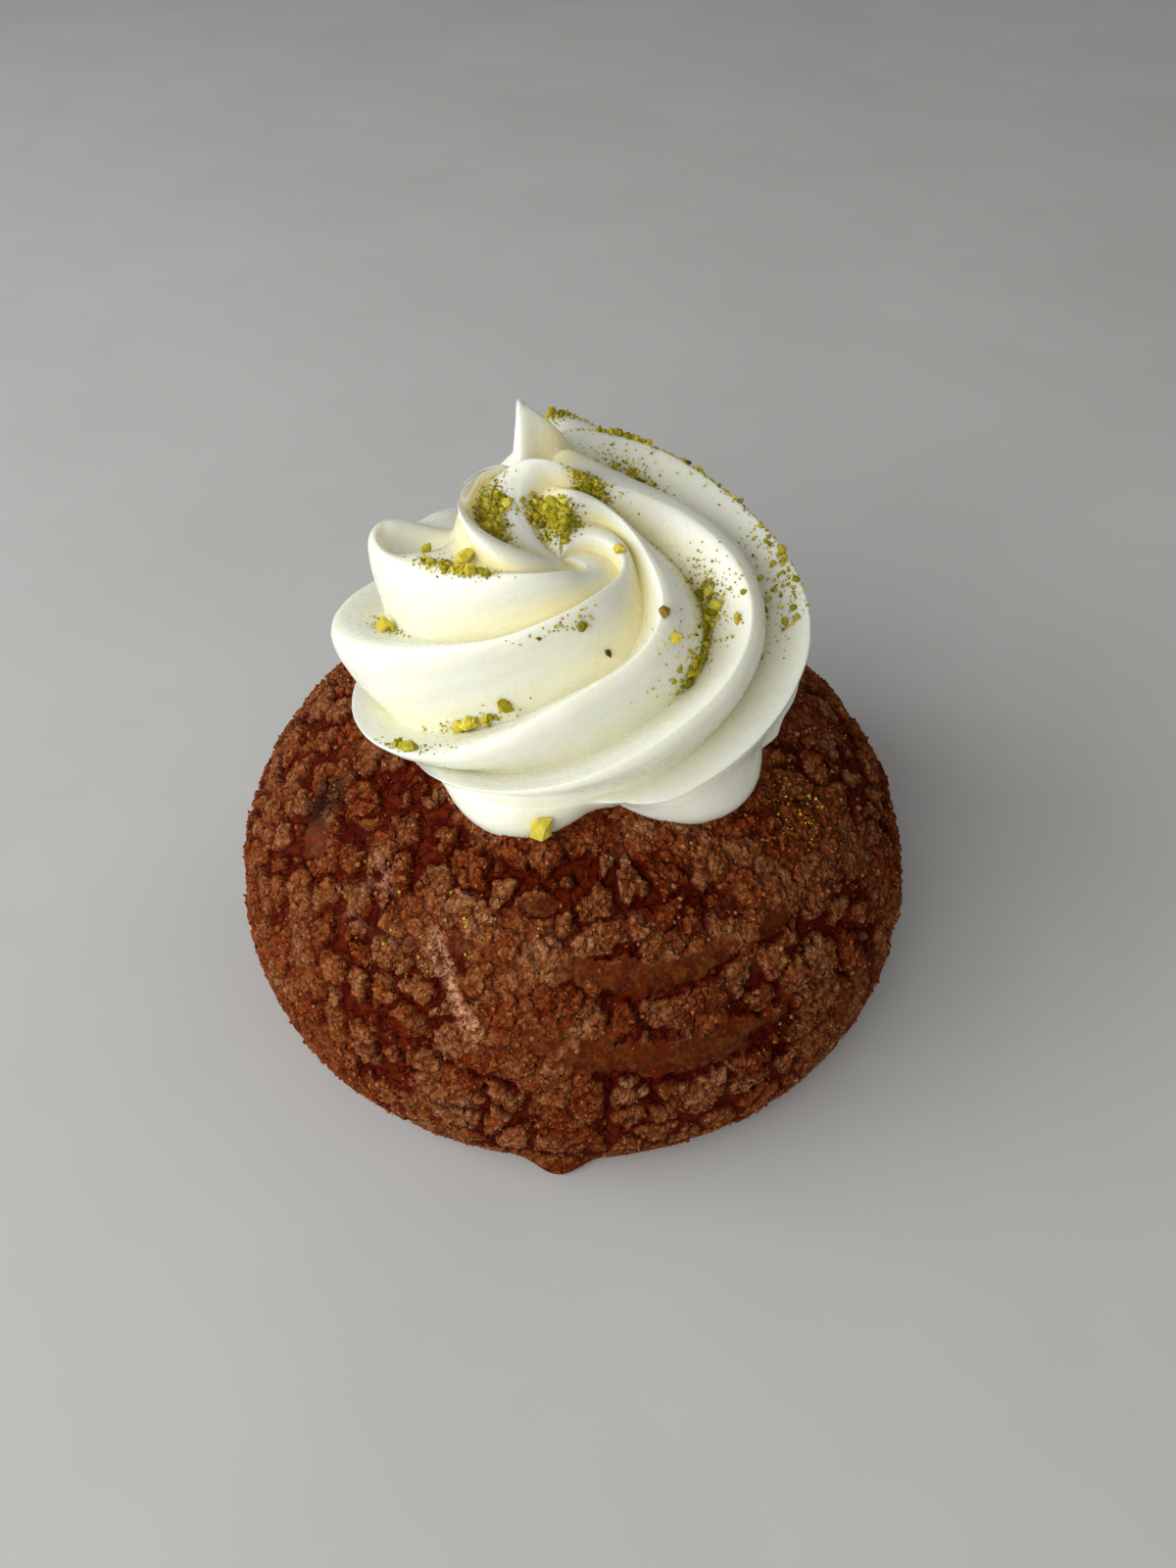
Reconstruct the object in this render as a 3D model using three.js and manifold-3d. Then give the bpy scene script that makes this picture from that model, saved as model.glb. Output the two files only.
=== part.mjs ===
// Choux bun with a crackled sugar crust, a piped swirl of cream and chopped pistachio.
// Millimetres, +Z up. The origin is the centre of the bun's flat base, and the front is -Y.
import * as THREE from 'three';
import { mergeVertices } from 'three/addons/utils/BufferGeometryUtils.js';
import Module from 'manifold-3d';

const wasm = await Module();
wasm.setup();

// Bun: a dome on a narrower flat base, widest a little above it.
const BUN_RADIUS = 42;
const BUN_HEIGHT = 41.4;
const BUN_WIDEST_Z = 10.4;
const BASE_RADIUS = 37.2;
const DOME_POWER = 1.96;
const FLANK_POWER = 2.28;
const BUN_DETAIL = 16;
const FLANK_SHARE = 0.35;

// Spur of dough that ran out under the front of the base.
const SPUR_AZIMUTH = 268;
const SPUR_REACH = 2.9;
const SPUR_HALF_ANGLE = 5;
const SPUR_HEIGHT = 2;

// Crust: plates parted by crevices, and bald bands where it slid off the dough below.
const PLATE_SIZE = 6.2;
const CREVICE_DEPTH = 1.15;
const CREVICE_SHARE = 0.2;
const PLATE_STEP = 0.55;
const BALD_DEPTH = 0.7;
// Each band: azimuth and height of its middle, half its arc, half its width and its rise at the ends.
const BALD_BANDS = [
  { azimuth: 284, z: 26.8, halfArc: 16, halfWidth: 1.7, rise: 1.6 },
  { azimuth: 285, z: 18.6, halfArc: 20, halfWidth: 2.6, rise: 2.0 },
  { azimuth: 264, z: 32.2, halfArc: 6, halfWidth: 1.0, rise: 0.4 },
  { azimuth: 309, z: 27.0, halfArc: 6, halfWidth: 1.4, rise: 0.8 },
  { azimuth: 209, z: 28.8, halfArc: 5, halfWidth: 2.4, rise: 0.5 },
  { azimuth: 250, z: 25.0, halfArc: 4, halfWidth: 4.2, rise: -0.6 },
];

// Swirl: radius and height towards the right, back, left and front, at levels from foot to eye.
const SWIRL_CENTRE = [-1, 1];
const SWIRL_RADIUS = [
  [27.0, 28.5, 22.5, 24.2],
  [27.9, 28.0, 26.8, 21.2],
  [21.5, 21.3, 19.6, 13.4],
  [10.2, 8.8, 10.8, 7.8],
  [6.3, 4.8, 9.9, 4.1],
  [0, 0, 0, 0],
];
const SWIRL_HEIGHT = [
  [36.2, 39.4, 36.8, 39.8],
  [45.7, 45.6, 41.3, 43.0],
  [50.6, 58.3, 54.0, 49.4],
  [54.2, 61.2, 59.6, 55.4],
  [55.2, 61.2, 60.8, 56.4],
  [54, 54, 54, 54],
];
const BUN_GAP = 0.3;

// Ridges left by the nozzle's teeth: azimuth at the foot, and turn on the way to the eye, in degrees.
const RIDGE_START = [50, 98, 170, 223, 289, 342];
const RIDGE_TURN = [314, 325, 303, 321, 328, 316];
const RIDGES = RIDGE_START.length;
const MERGE_LEVEL = 0.34;
const MERGE_SPAN = 0.11;
const MERGE_OFFSET = 4;

// Grooves between the ridges: depth at each level, and the wall's share of the pitch by direction.
const GROOVE_DEPTH = [1.6, 5.3, 5.2, 2.4, 1.8, 0.2];
const GROOVE_PITCH = 50;
const GROOVE_WIDEN = 1.2;
const WALL_SHARE = [0.84, 0.74, 0.54, 0.81];
const LEAN_FOOT = 10;
const LEAN_EYE = 120;

// Skirt below the foot, down to the bun: tucked in, with lobes that bulge between nips.
const SKIRT = 0.07;
const SKIRT_TUCK = 0.8;
const LOBE_BULGE = 5.2;
const LOBE_NIP = 2.9;
const LOBE_NIP_AZIMUTH = 287;
const LOBE_FADE = 0.05;

// Swells in the cream: the hump where the last ridge runs out behind the peak, the dip round the
// peak's foot, and the fall of the left collar's far rim. Then the cup inside that collar.
const SWELLS = [
  { rise: 2.6, azimuth: 93, halfAngle: 10.5, level: 0.41, span: 0.046 },
  { rise: -5.4, azimuth: 116, halfAngle: 17, level: 0.52, span: 0.085 },
  { rise: -2.6, azimuth: 137, halfAngle: 11.3, level: 0.345, span: 0.13 },
];
const COLLAR_CUP = { rise: -4.2, azimuth: 161, halfAngle: 16, level: 0.45, span: 0.065 };
const CUP_WALL_PHASE = 0.9;

// Peak pulled up where the nozzle left the cream: steep on its left, with a long slope on its right
// that runs towards an azimuth.
const PEAK_TIP = [-5.7, 14, 65.9];
const PEAK_RIDGE = 4;
const PEAK_LEVEL = 0.57;
const PEAK_AZIMUTH = 19;
const PEAK_REACH_LEFT = 0.6;
const PEAK_REACH_RIGHT = 7;
const PEAK_REACH_ACROSS = 1.7;
const PEAK_TURNOVER = 0.4;
const PEAK_POWER = 1.3;

// Mesh of the swirl: steps from ridge to ridge, which bunch up at the crests, and steps of level.
const STEPS_PER_RIDGE = 13;
const CREST_BUNCHING = 0.5;
const STEPS_UP = 26;
const SKIRT_STEPS = 2;
const UNDERSIDE_RINGS = 4;

// Chopped pistachio: single chips by place and size, and clusters by place, spread, count and size.
const CHIPS = [
  { ridge: 3.64, level: -0.03, size: 1.25 },
  { ridge: 5.72, level: 0.575, size: 1.15 },
  { ridge: 0.64, level: 0.321, size: 0.95 },
  { ridge: 2.0, level: 0.521, size: 0.95 },
  { ridge: 1.57, level: 0.333, size: 0.85 },
  { ridge: 5.78, level: 0.496, size: 0.75 },
  { ridge: 2.2, level: 0.468, size: 0.65 },
  { ridge: 2.94, level: 0.405, size: 0.65 },
  { ridge: 1.24, level: 0.523, size: 0.6 },
  { ridge: 1.66, level: 0.496, size: 0.6 },
  { ridge: 1.02, level: 0.803, size: 0.6 },
];
const CLUSTERS = [
  { ridge: 5.17, level: 0.437, across: 0.06, along: 0.02, count: 3, size: 0.6 },
  { ridge: 3.98, level: 0.41, across: 0.05, along: 0.035, count: 5, size: 0.65 },
  { ridge: 3.87, level: 0.445, across: 0.04, along: 0.02, count: 4, size: 0.65 },
  { ridge: 2.91, level: 0.651, across: 0.05, along: 0.02, count: 3, size: 0.65 },
  { ridge: 2.3, level: 0.9, across: 0.35, along: 0.02, count: 4, size: 0.6 },
  { ridge: 3.4, level: 0.86, across: 0.15, along: 0.015, count: 5, size: 0.65 },
  { ridge: 5.9, level: 0.535, across: 0.04, along: 0.03, count: 3, size: 0.65 },
  { ridge: 1.62, level: 0.287, across: 0.06, along: 0.02, count: 2, size: 0.65 },
  { ridge: 1.92, level: 0.197, across: 0.04, along: 0.012, count: 3, size: 0.65 },
  { ridge: 2.8, level: 0.43, across: 0.1, along: 0.03, count: 5, size: 0.7 },
  { ridge: 3.93, level: 0.262, across: 0.04, along: 0.03, count: 5, size: 0.7 },
];
const CHIP_LIFT = 0.25;
const CHIP_UNEVEN = 0.3;
const CHIP_SEED = 7;

const CRUST_COLOUR = 0x6b3a26;
const CREAM_COLOUR = 0xf1eddc;

const radians = THREE.MathUtils.degToRad;

// 0 on the low side and 1 on the high side, eased. The low limit may be the larger one.
function smooth(low, high, x) {
  const t = THREE.MathUtils.clamp((x - low) / (high - low), 0, 1);
  return t * t * (3 - 2 * t);
}

// Repeatable draws from 0 to 1.
function seededRandom(seed) {
  let state = seed;
  return () => {
    state = (state * 1664525 + 1013904223) % 4294967296;
    return state / 4294967296;
  };
}

// A number from 0 to 1 that belongs to a cell of space.
function cellNumber(i, j, k, salt) {
  const wave = Math.sin(i * 127.1 + j * 311.7 + k * 74.7 + salt * 53.3) * 43758.5453;
  return wave - Math.floor(wave);
}

// Nearest plate: how far its edge is, in plate sizes, and the plate's own number.
function plateAt(point, size) {
  const [x, y, z] = point.map((value) => value / size);
  const base = [Math.floor(x), Math.floor(y), Math.floor(z)];
  let nearest = Infinity;
  let second = Infinity;
  let number = 0;
  for (let i = base[0] - 1; i <= base[0] + 1; i += 1) {
    for (let j = base[1] - 1; j <= base[1] + 1; j += 1) {
      for (let k = base[2] - 1; k <= base[2] + 1; k += 1) {
        const dx = i + cellNumber(i, j, k, 1) - x;
        const dy = j + cellNumber(i, j, k, 2) - y;
        const dz = k + cellNumber(i, j, k, 3) - z;
        const distance = Math.hypot(dx, dy, dz);
        if (distance < nearest) {
          second = nearest;
          nearest = distance;
          number = cellNumber(i, j, k, 4);
        } else if (distance < second) {
          second = distance;
        }
      }
    }
  }
  return { edge: second - nearest, number };
}

// Height of the smooth dome at a distance from the axis.
function domeHeight(radius) {
  const share = Math.min(radius / BUN_RADIUS, 1);
  return BUN_WIDEST_Z + (BUN_HEIGHT - BUN_WIDEST_Z) * (1 - share ** DOME_POWER) ** (1 / DOME_POWER);
}

function angleBetween(a, b) {
  return Math.abs(THREE.MathUtils.euclideanModulo(a - b + 180, 360) - 180);
}

// 1 in the middle of a bald band of the crust, 0 off all of them.
function baldness(azimuth, z) {
  let most = 0;
  for (const band of BALD_BANDS) {
    const along = angleBetween(azimuth, band.azimuth) / band.halfArc;
    const middle = band.z + band.rise * along ** 2;
    const across = Math.abs(z - middle) / band.halfWidth;
    most = Math.max(most, smooth(1.15, 0.6, Math.hypot(along, across)));
  }
  return most;
}

// How far the crust lies below the smooth dome.
function crustDepth(point) {
  const azimuth = THREE.MathUtils.radToDeg(Math.atan2(point.y, point.x));
  const plate = plateAt(point.toArray(), PLATE_SIZE);
  const crevice = CREVICE_DEPTH * (1 - smooth(0, CREVICE_SHARE, plate.edge));
  const rough = crevice + PLATE_STEP * plate.number;
  const bald = baldness(azimuth, point.z);
  const depth = rough * (1 - bald) + BALD_DEPTH * bald;
  const underCream = smooth(25, 22, Math.hypot(point.x, point.y));
  const nearBase = smooth(0.5, 3, point.z);
  return depth * (1 - underCream * smooth(20, 30, point.z)) * nearBase;
}

// Point of the bun's skin in a direction from its middle.
function bunPoint(direction) {
  const azimuth = Math.atan2(direction.y, direction.x);
  const elevation = Math.asin(THREE.MathUtils.clamp(direction.z, -1, 1));
  let radius;
  let z;
  if (elevation >= 0) {
    radius = BUN_RADIUS * Math.cos(elevation) ** (2 / DOME_POWER);
    z = BUN_WIDEST_Z + (BUN_HEIGHT - BUN_WIDEST_Z) * Math.sin(elevation) ** (2 / DOME_POWER);
  } else {
    const down = -elevation / (Math.PI / 2);
    const turn = (Math.min(down / FLANK_SHARE, 1) * Math.PI) / 2;
    const offSpur = angleBetween(THREE.MathUtils.radToDeg(azimuth), SPUR_AZIMUTH) / SPUR_HALF_ANGLE;
    const flankZ = BUN_WIDEST_Z * (1 - Math.sin(turn) ** (2 / FLANK_POWER));
    const spur = SPUR_REACH * Math.exp(-(offSpur ** 2)) * smooth(SPUR_HEIGHT, 0, flankZ);
    const flank = BASE_RADIUS + (BUN_RADIUS - BASE_RADIUS) * Math.cos(turn) ** (2 / FLANK_POWER);
    const inward = Math.max(down - FLANK_SHARE, 0) / (1 - FLANK_SHARE);
    radius = Math.max(flank, flank + spur) * (1 - inward);
    z = down < FLANK_SHARE ? flankZ : 0;
  }
  return new THREE.Vector3(radius * Math.cos(azimuth), radius * Math.sin(azimuth), z);
}

function bunGeometry() {
  let geometry = new THREE.IcosahedronGeometry(1, BUN_DETAIL);
  geometry.deleteAttribute('normal');
  geometry.deleteAttribute('uv');
  geometry = mergeVertices(geometry);
  const position = geometry.getAttribute('position');
  const middle = new THREE.Vector3(0, 0, BUN_WIDEST_Z);
  const direction = new THREE.Vector3();
  for (let index = 0; index < position.count; index += 1) {
    direction.fromBufferAttribute(position, index).normalize();
    const point = bunPoint(direction);
    const inward = middle.clone().sub(point).normalize();
    if (point.z > 0) {
      point.addScaledVector(inward, crustDepth(point));
    }
    position.setXYZ(index, point.x, point.y, point.z);
  }
  geometry.computeVertexNormals();
  return geometry;
}

// Smooth blend of four values, given towards the right, back, left and front.
function byDirection([right, back, left, front], azimuth) {
  const mean = (right + back + left + front) / 4;
  const oval = (right + left - back - front) / 4;
  return mean + ((right - left) / 2) * Math.cos(azimuth)
    + ((back - front) / 2) * Math.sin(azimuth) + oval * Math.cos(2 * azimuth);
}

// Smooth curve through values that are spread evenly from level 0 to level 1.
function atLevel(values, level) {
  const last = values.length - 1;
  const place = THREE.MathUtils.clamp(level, 0, 1) * last;
  const index = Math.min(Math.floor(place), last - 1);
  const t = place - index;
  const slope = (row) => {
    const before = Math.max(row - 1, 0);
    const after = Math.min(row + 1, last);
    return (values[after] - values[before]) / (after - before);
  };
  return (2 * t ** 3 - 3 * t ** 2 + 1) * values[index] + (t ** 3 - 2 * t ** 2 + t) * slope(index)
    + (3 * t ** 2 - 2 * t ** 3) * values[index + 1] + (t ** 3 - t ** 2) * slope(index + 1);
}

const columns = (rows) => [0, 1, 2, 3].map((side) => rows.map((row) => row[side]));
const radiusColumns = columns(SWIRL_RADIUS);
const heightColumns = columns(SWIRL_HEIGHT);

function envelope(tableColumns, level, azimuth) {
  return byDirection(tableColumns.map((column) => atLevel(column, level)), azimuth);
}

// Azimuth of a ridge at a level, in degrees. The last one runs into the ridge before it.
function ridgeAzimuth(ridge, level) {
  const turns = Math.floor(ridge / RIDGES);
  const index = ridge % RIDGES;
  const free = RIDGE_START[index] + RIDGE_TURN[index] * level;
  if (index < RIDGES - 1) {
    return free + 360 * turns;
  }
  const neighbour = RIDGE_START[index - 1] + RIDGE_TURN[index - 1] * level + MERGE_OFFSET;
  const merged = smooth(MERGE_LEVEL - MERGE_SPAN, MERGE_LEVEL + MERGE_SPAN, level);
  return free * (1 - merged) + neighbour * merged;
}

// Groove between two crests: 0 on a crest, 1 at the foot of the wall.
function grooveShape(phase, wallShare) {
  if (phase < wallShare) {
    const t = phase / wallShare;
    return 0.25 * (1 - Math.cos(Math.PI * t)) + 0.5 * (1 - Math.cos((Math.PI / 2) * t));
  }
  const t = (phase - wallShare) / (1 - wallShare);
  return 0.25 * (1 + Math.cos(Math.PI * t)) + 0.5 * (1 - Math.sin((Math.PI / 2) * t));
}

function skirtLobe(degrees, level) {
  const wave = Math.abs(Math.sin(radians((RIDGES / 2) * (degrees - LOBE_NIP_AZIMUTH))));
  return (LOBE_BULGE * wave - LOBE_NIP) * smooth(LOBE_FADE, -LOBE_FADE, level);
}

function swell(spot, degrees, level) {
  const along = (level - spot.level) / spot.span;
  const aside = angleBetween(degrees, spot.azimuth) / spot.halfAngle;
  return spot.rise * Math.exp(-(along ** 2) - aside ** 2);
}

function allSwells(ridge, phase, degrees, level) {
  const inCollar = ridge === RIDGES - 1 ? smooth(1, CUP_WALL_PHASE, phase) : 0;
  const cup = inCollar * swell(COLLAR_CUP, degrees, level);
  return SWELLS.reduce((total, spot) => total + swell(spot, degrees, level), cup);
}

// Point of the swirl without its peak. Place counts ridges round the foot. Level runs from -SKIRT,
// on the bun, to 0 at the foot and 1 at the eye.
function foldPoint(place, level) {
  const ridge = Math.floor(place) % RIDGES;
  const phase = place - Math.floor(place);
  const height = Math.max(level, 0);
  const from = ridgeAzimuth(ridge, height);
  const pitch = ridgeAzimuth(ridge + 1, height) - from;
  const degrees = from + pitch * phase;
  const azimuth = radians(degrees);
  const depth = atLevel(GROOVE_DEPTH, height) * Math.min(pitch / GROOVE_PITCH, GROOVE_WIDEN)
    * grooveShape(phase, byDirection(WALL_SHARE, azimuth));
  const lean = radians(LEAN_FOOT + (LEAN_EYE - LEAN_FOOT) * height);
  const down = Math.max(-level / SKIRT, 0);
  const radius = envelope(radiusColumns, height, azimuth) - depth * Math.cos(lean)
    + skirtLobe(degrees, level) - SKIRT_TUCK * down ** 2;
  const z = envelope(heightColumns, height, azimuth)
    - depth * Math.sin(lean) + allSwells(ridge, phase, degrees, height);
  const x = SWIRL_CENTRE[0] + radius * Math.cos(azimuth);
  const y = SWIRL_CENTRE[1] + radius * Math.sin(azimuth);
  const floor = domeHeight(Math.hypot(x, y)) + BUN_GAP;
  return new THREE.Vector3(x, y, Math.max(z * (1 - down) + floor * down, floor));
}

const peakRoot = foldPoint(PEAK_RIDGE, PEAK_LEVEL);
const peakPull = new THREE.Vector3(...PEAK_TIP).sub(peakRoot);
const peakSlope = new THREE.Vector3(Math.cos(radians(PEAK_AZIMUTH)), Math.sin(radians(PEAK_AZIMUTH)), 0);

function swirlPoint(place, level) {
  const point = foldPoint(place, level);
  const offset = point.clone().sub(peakRoot);
  const along = offset.dot(peakSlope);
  const across = offset.addScaledVector(peakSlope, -along).length();
  const turnover = smooth(-PEAK_TURNOVER, PEAK_TURNOVER, along);
  const reach = THREE.MathUtils.lerp(PEAK_REACH_LEFT, PEAK_REACH_RIGHT, turnover);
  const away = Math.hypot(along / reach, across / PEAK_REACH_ACROSS);
  return point.addScaledVector(peakPull, Math.exp(-(away ** PEAK_POWER)));
}

// Places round the swirl, closer together at the crests.
function stepPlaces() {
  const places = [];
  for (let step = 0; step < RIDGES * STEPS_PER_RIDGE; step += 1) {
    const even = step / STEPS_PER_RIDGE;
    places.push(even - (CREST_BUNCHING / (2 * Math.PI)) * Math.sin(2 * Math.PI * even));
  }
  return places;
}

// Levels from the bun to just below the eye, with one of them on the peak.
function stepLevels() {
  const peakStep = Math.round(PEAK_LEVEL * STEPS_UP);
  const levels = [];
  for (let step = SKIRT_STEPS; step > 0; step -= 1) {
    levels.push((-SKIRT * step) / SKIRT_STEPS);
  }
  for (let step = 0; step < STEPS_UP; step += 1) {
    const above = (1 - PEAK_LEVEL) * ((step - peakStep) / (STEPS_UP - peakStep));
    levels.push(step <= peakStep ? (PEAK_LEVEL * step) / peakStep : PEAK_LEVEL + above);
  }
  return levels;
}

// A closed skin: rings from the middle of the underside out to the bun's rim, then up to the eye.
function swirlGeometry() {
  const places = stepPlaces();
  const levels = stepLevels();
  const around = places.length;
  const [centreX, centreY] = SWIRL_CENTRE;
  const vertices = [centreX, centreY, domeHeight(Math.hypot(centreX, centreY)) + BUN_GAP];
  for (let ring = 1; ring < UNDERSIDE_RINGS; ring += 1) {
    for (const place of places) {
      const rim = foldPoint(place, levels[0]);
      const x = THREE.MathUtils.lerp(centreX, rim.x, ring / UNDERSIDE_RINGS);
      const y = THREE.MathUtils.lerp(centreY, rim.y, ring / UNDERSIDE_RINGS);
      vertices.push(x, y, domeHeight(Math.hypot(x, y)) + BUN_GAP);
    }
  }
  for (const level of levels) {
    for (const place of places) {
      vertices.push(...swirlPoint(place, level));
    }
  }
  vertices.push(...swirlPoint(0, 1));
  const rings = UNDERSIDE_RINGS - 1 + levels.length;
  const eye = 1 + rings * around;
  const faces = [];
  for (let step = 0; step < around; step += 1) {
    const next = (step + 1) % around;
    faces.push(0, 1 + next, 1 + step);
    faces.push(eye, eye - around + step, eye - around + next);
    for (let ring = 0; ring < rings - 1; ring += 1) {
      const low = 1 + ring * around;
      const high = low + around;
      faces.push(low + step, low + next, high + next);
      faces.push(low + step, high + next, high + step);
    }
  }
  const geometry = new THREE.BufferGeometry();
  geometry.setAttribute('position', new THREE.Float32BufferAttribute(vertices, 3));
  geometry.setIndex(faces);
  return geometry;
}

// One chip: an uneven lump, half sunk in the cream and clear of the bun.
function chipGeometry(chip, random) {
  let geometry = new THREE.IcosahedronGeometry(chip.size, 0);
  geometry.deleteAttribute('normal');
  geometry.deleteAttribute('uv');
  geometry = mergeVertices(geometry);
  const position = geometry.getAttribute('position');
  for (let index = 0; index < position.count; index += 1) {
    const scale = 1 + CHIP_UNEVEN * (2 * random() - 1);
    const flat = 1 - CHIP_UNEVEN * random();
    position.setXYZ(
      index,
      position.getX(index) * scale,
      position.getY(index) * scale,
      position.getZ(index) * scale * flat,
    );
  }
  const seat = swirlPoint(chip.ridge, chip.level);
  const floor = domeHeight(Math.hypot(seat.x, seat.y)) + 2 * BUN_GAP + 1.3 * chip.size;
  geometry.rotateZ(2 * Math.PI * random());
  geometry.translate(seat.x, seat.y, Math.max(seat.z + CHIP_LIFT * chip.size, floor));
  return geometry;
}

function allChips(random) {
  const chips = [...CHIPS];
  for (const cluster of CLUSTERS) {
    for (let count = 0; count < cluster.count; count += 1) {
      const side = 2 * random() - 1;
      const run = 2 * random() - 1;
      chips.push({
        ridge: cluster.ridge + cluster.across * side,
        level: cluster.level + cluster.along * run,
        size: cluster.size * (0.8 + 0.5 * random()),
      });
    }
  }
  return chips;
}

function toSolid(geometry) {
  return new wasm.Manifold(new wasm.Mesh({
    numProp: 3,
    vertProperties: new Float32Array(geometry.getAttribute('position').array),
    triVerts: new Uint32Array(geometry.getIndex().array),
  }));
}

function toGeometry(solid) {
  const mesh = solid.getMesh();
  const geometry = new THREE.BufferGeometry();
  geometry.setAttribute('position', new THREE.BufferAttribute(mesh.vertProperties, 3));
  geometry.setIndex(new THREE.BufferAttribute(mesh.triVerts, 1));
  geometry.computeVertexNormals();
  return geometry;
}

// The largest skin alone, which fills any hollow sealed between chips and drops any loose scrap.
function largestSkin(solid) {
  const skins = solid.decompose();
  return skins.reduce((largest, skin) => (skin.volume() > largest.volume() ? skin : largest));
}

function creamGeometry() {
  const random = seededRandom(CHIP_SEED);
  let solid = toSolid(swirlGeometry());
  for (const chip of allChips(random)) {
    solid = solid.add(toSolid(chipGeometry(chip, random)));
  }
  return toGeometry(largestSkin(solid));
}

function namedMesh(name, geometry, color, roughness) {
  const mesh = new THREE.Mesh(geometry, new THREE.MeshStandardMaterial({ color, roughness, metalness: 0 }));
  mesh.name = name;
  return mesh;
}

const bun = new THREE.Group();
bun.add(namedMesh('crust_bun', bunGeometry(), CRUST_COLOUR, 0.7));
bun.add(namedMesh('cream_swirl', creamGeometry(), CREAM_COLOUR, 0.4));

export default bun;
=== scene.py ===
import itertools
import math

import bpy
import numpy as np
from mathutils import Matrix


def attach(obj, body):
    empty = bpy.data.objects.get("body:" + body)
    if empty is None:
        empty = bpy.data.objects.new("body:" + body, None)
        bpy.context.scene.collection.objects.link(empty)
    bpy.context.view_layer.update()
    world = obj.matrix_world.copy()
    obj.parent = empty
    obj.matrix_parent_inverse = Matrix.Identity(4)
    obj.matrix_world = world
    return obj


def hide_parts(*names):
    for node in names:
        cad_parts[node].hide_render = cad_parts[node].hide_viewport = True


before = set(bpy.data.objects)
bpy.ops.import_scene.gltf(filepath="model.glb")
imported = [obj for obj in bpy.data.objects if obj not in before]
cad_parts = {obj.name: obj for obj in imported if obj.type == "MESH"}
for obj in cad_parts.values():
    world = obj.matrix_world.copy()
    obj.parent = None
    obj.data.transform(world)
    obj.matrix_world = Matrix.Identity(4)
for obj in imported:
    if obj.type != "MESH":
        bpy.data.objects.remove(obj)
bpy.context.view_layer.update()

# Choux bun with a crackled sugar crust, a piped swirl of cream and chopped pistachio.
# Sizes are in millimetres until a mesh is made. The front is -Y and the base is z = 0.
MM = 0.001

# Bun: a dome on a narrower flat base, widest a little above it.
BUN_RADIUS = 42
BUN_HEIGHT = 41.4
BUN_WIDEST_Z = 10.4
BASE_RADIUS = 37.2
DOME_POWER = 1.96
FLANK_POWER = 2.28
HIDDEN_RADIUS = 17
HIDDEN_ROWS = 4
CRUST_ROWS = 148
CRUST_COLUMNS = 620
BASE_RINGS = 4

# Spur of dough that ran out under the front of the base.
SPUR_AZIMUTH = 268
SPUR_REACH = 2.9
SPUR_HALF_ANGLE = 5
SPUR_HEIGHT = 2

# Crust: plates made of flakes, which are made of grains. Half the gap between two plates is given
# where they are close and where they stand apart, in plate sizes. Between flakes it runs from the
# first to the second share of a flake. No part rises further than CRUST_RISE above the dome. The relief
# gets calmer from the first height of CALM_Z down to the second.
PLATE_SIZE = 4.4
FLAKE_SIZE = 1.7
GRAIN_SIZE = 0.7
GRAIN_PATCH_SIZE = 2.6
RAGGED_SIZE = 1.0
RAGGED_REACH = 1.2
GAP_SHARE = (0.03, 0.125)
GAP_EDGE = 0.07
FLAKE_GAP_SHARE = (0.03, 0.17)
CREVICE_DEPTH = 1.2
FLAKE_DEPTH = 0.3
GRAIN_HEIGHT = 0.22
PLATE_STEP = 0.3
PLATE_TILT = 0.1
PATCH_SIZE = 7
CRUST_RISE = 0.2
CALM_Z = (12, 5)
CALM_SHARE = 0.65
FADE_AT_BASE = (0.3, 2.6)
RIM_Z = (7, 2)

# Bald bands where the crust slid off the dough: azimuth and height of the middle, half the arc,
# half the width, the rise at both ends, and the further rise from the middle to the right end.
BALD_DEPTH = 0.75
BALD_RAGGED = 0.45
FRAY = 0.3
FRAY_SIZE = 0.7
WOBBLE_SIZE = 1.3
LIP_DEPTH = 0.6
FOLD_SIZE = 3.4
FOLD_HEIGHT = 0.3
PIMPLE_SIZE = 0.9
PIMPLE_HEIGHT = 0.1
BALD_BANDS = [
    dict(azimuth=284.5, z=26.8, half_arc=16, half_width=1.45, rise=1.3, tilt=-0.5),
    dict(azimuth=285, z=18.6, half_arc=21, half_width=2.4, rise=2.4, tilt=-1.6),
    dict(azimuth=264, z=32.2, half_arc=4.5, half_width=0.7, rise=0.4, tilt=0),
    dict(azimuth=309, z=27.0, half_arc=5, half_width=1.1, rise=0.8, tilt=0),
    dict(azimuth=209, z=28.8, half_arc=4.5, half_width=2.0, rise=0.5, tilt=0),
]
# Long cracks that run round the lower crust.
ARC_CRACKS = [
    dict(azimuth=292, z=13.4, half_arc=34, half_width=0.45, rise=1.5, tilt=0),
    dict(azimuth=270, z=10.6, half_arc=22, half_width=0.35, rise=1.0, tilt=0),
    dict(azimuth=322, z=17.5, half_arc=16, half_width=0.4, rise=1.2, tilt=0),
    dict(azimuth=238, z=15.0, half_arc=14, half_width=0.4, rise=0.8, tilt=0),
    dict(azimuth=252, z=17.5, half_arc=16, half_width=0.5, rise=0.2, tilt=-2.5),
    dict(azimuth=246, z=13.0, half_arc=14, half_width=0.45, rise=0.2, tilt=-2.0),
]
ARC_DEPTH = 0.9
ARC_WOBBLE = 1.6
ARC_BREAK_SIZE = 3
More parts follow.
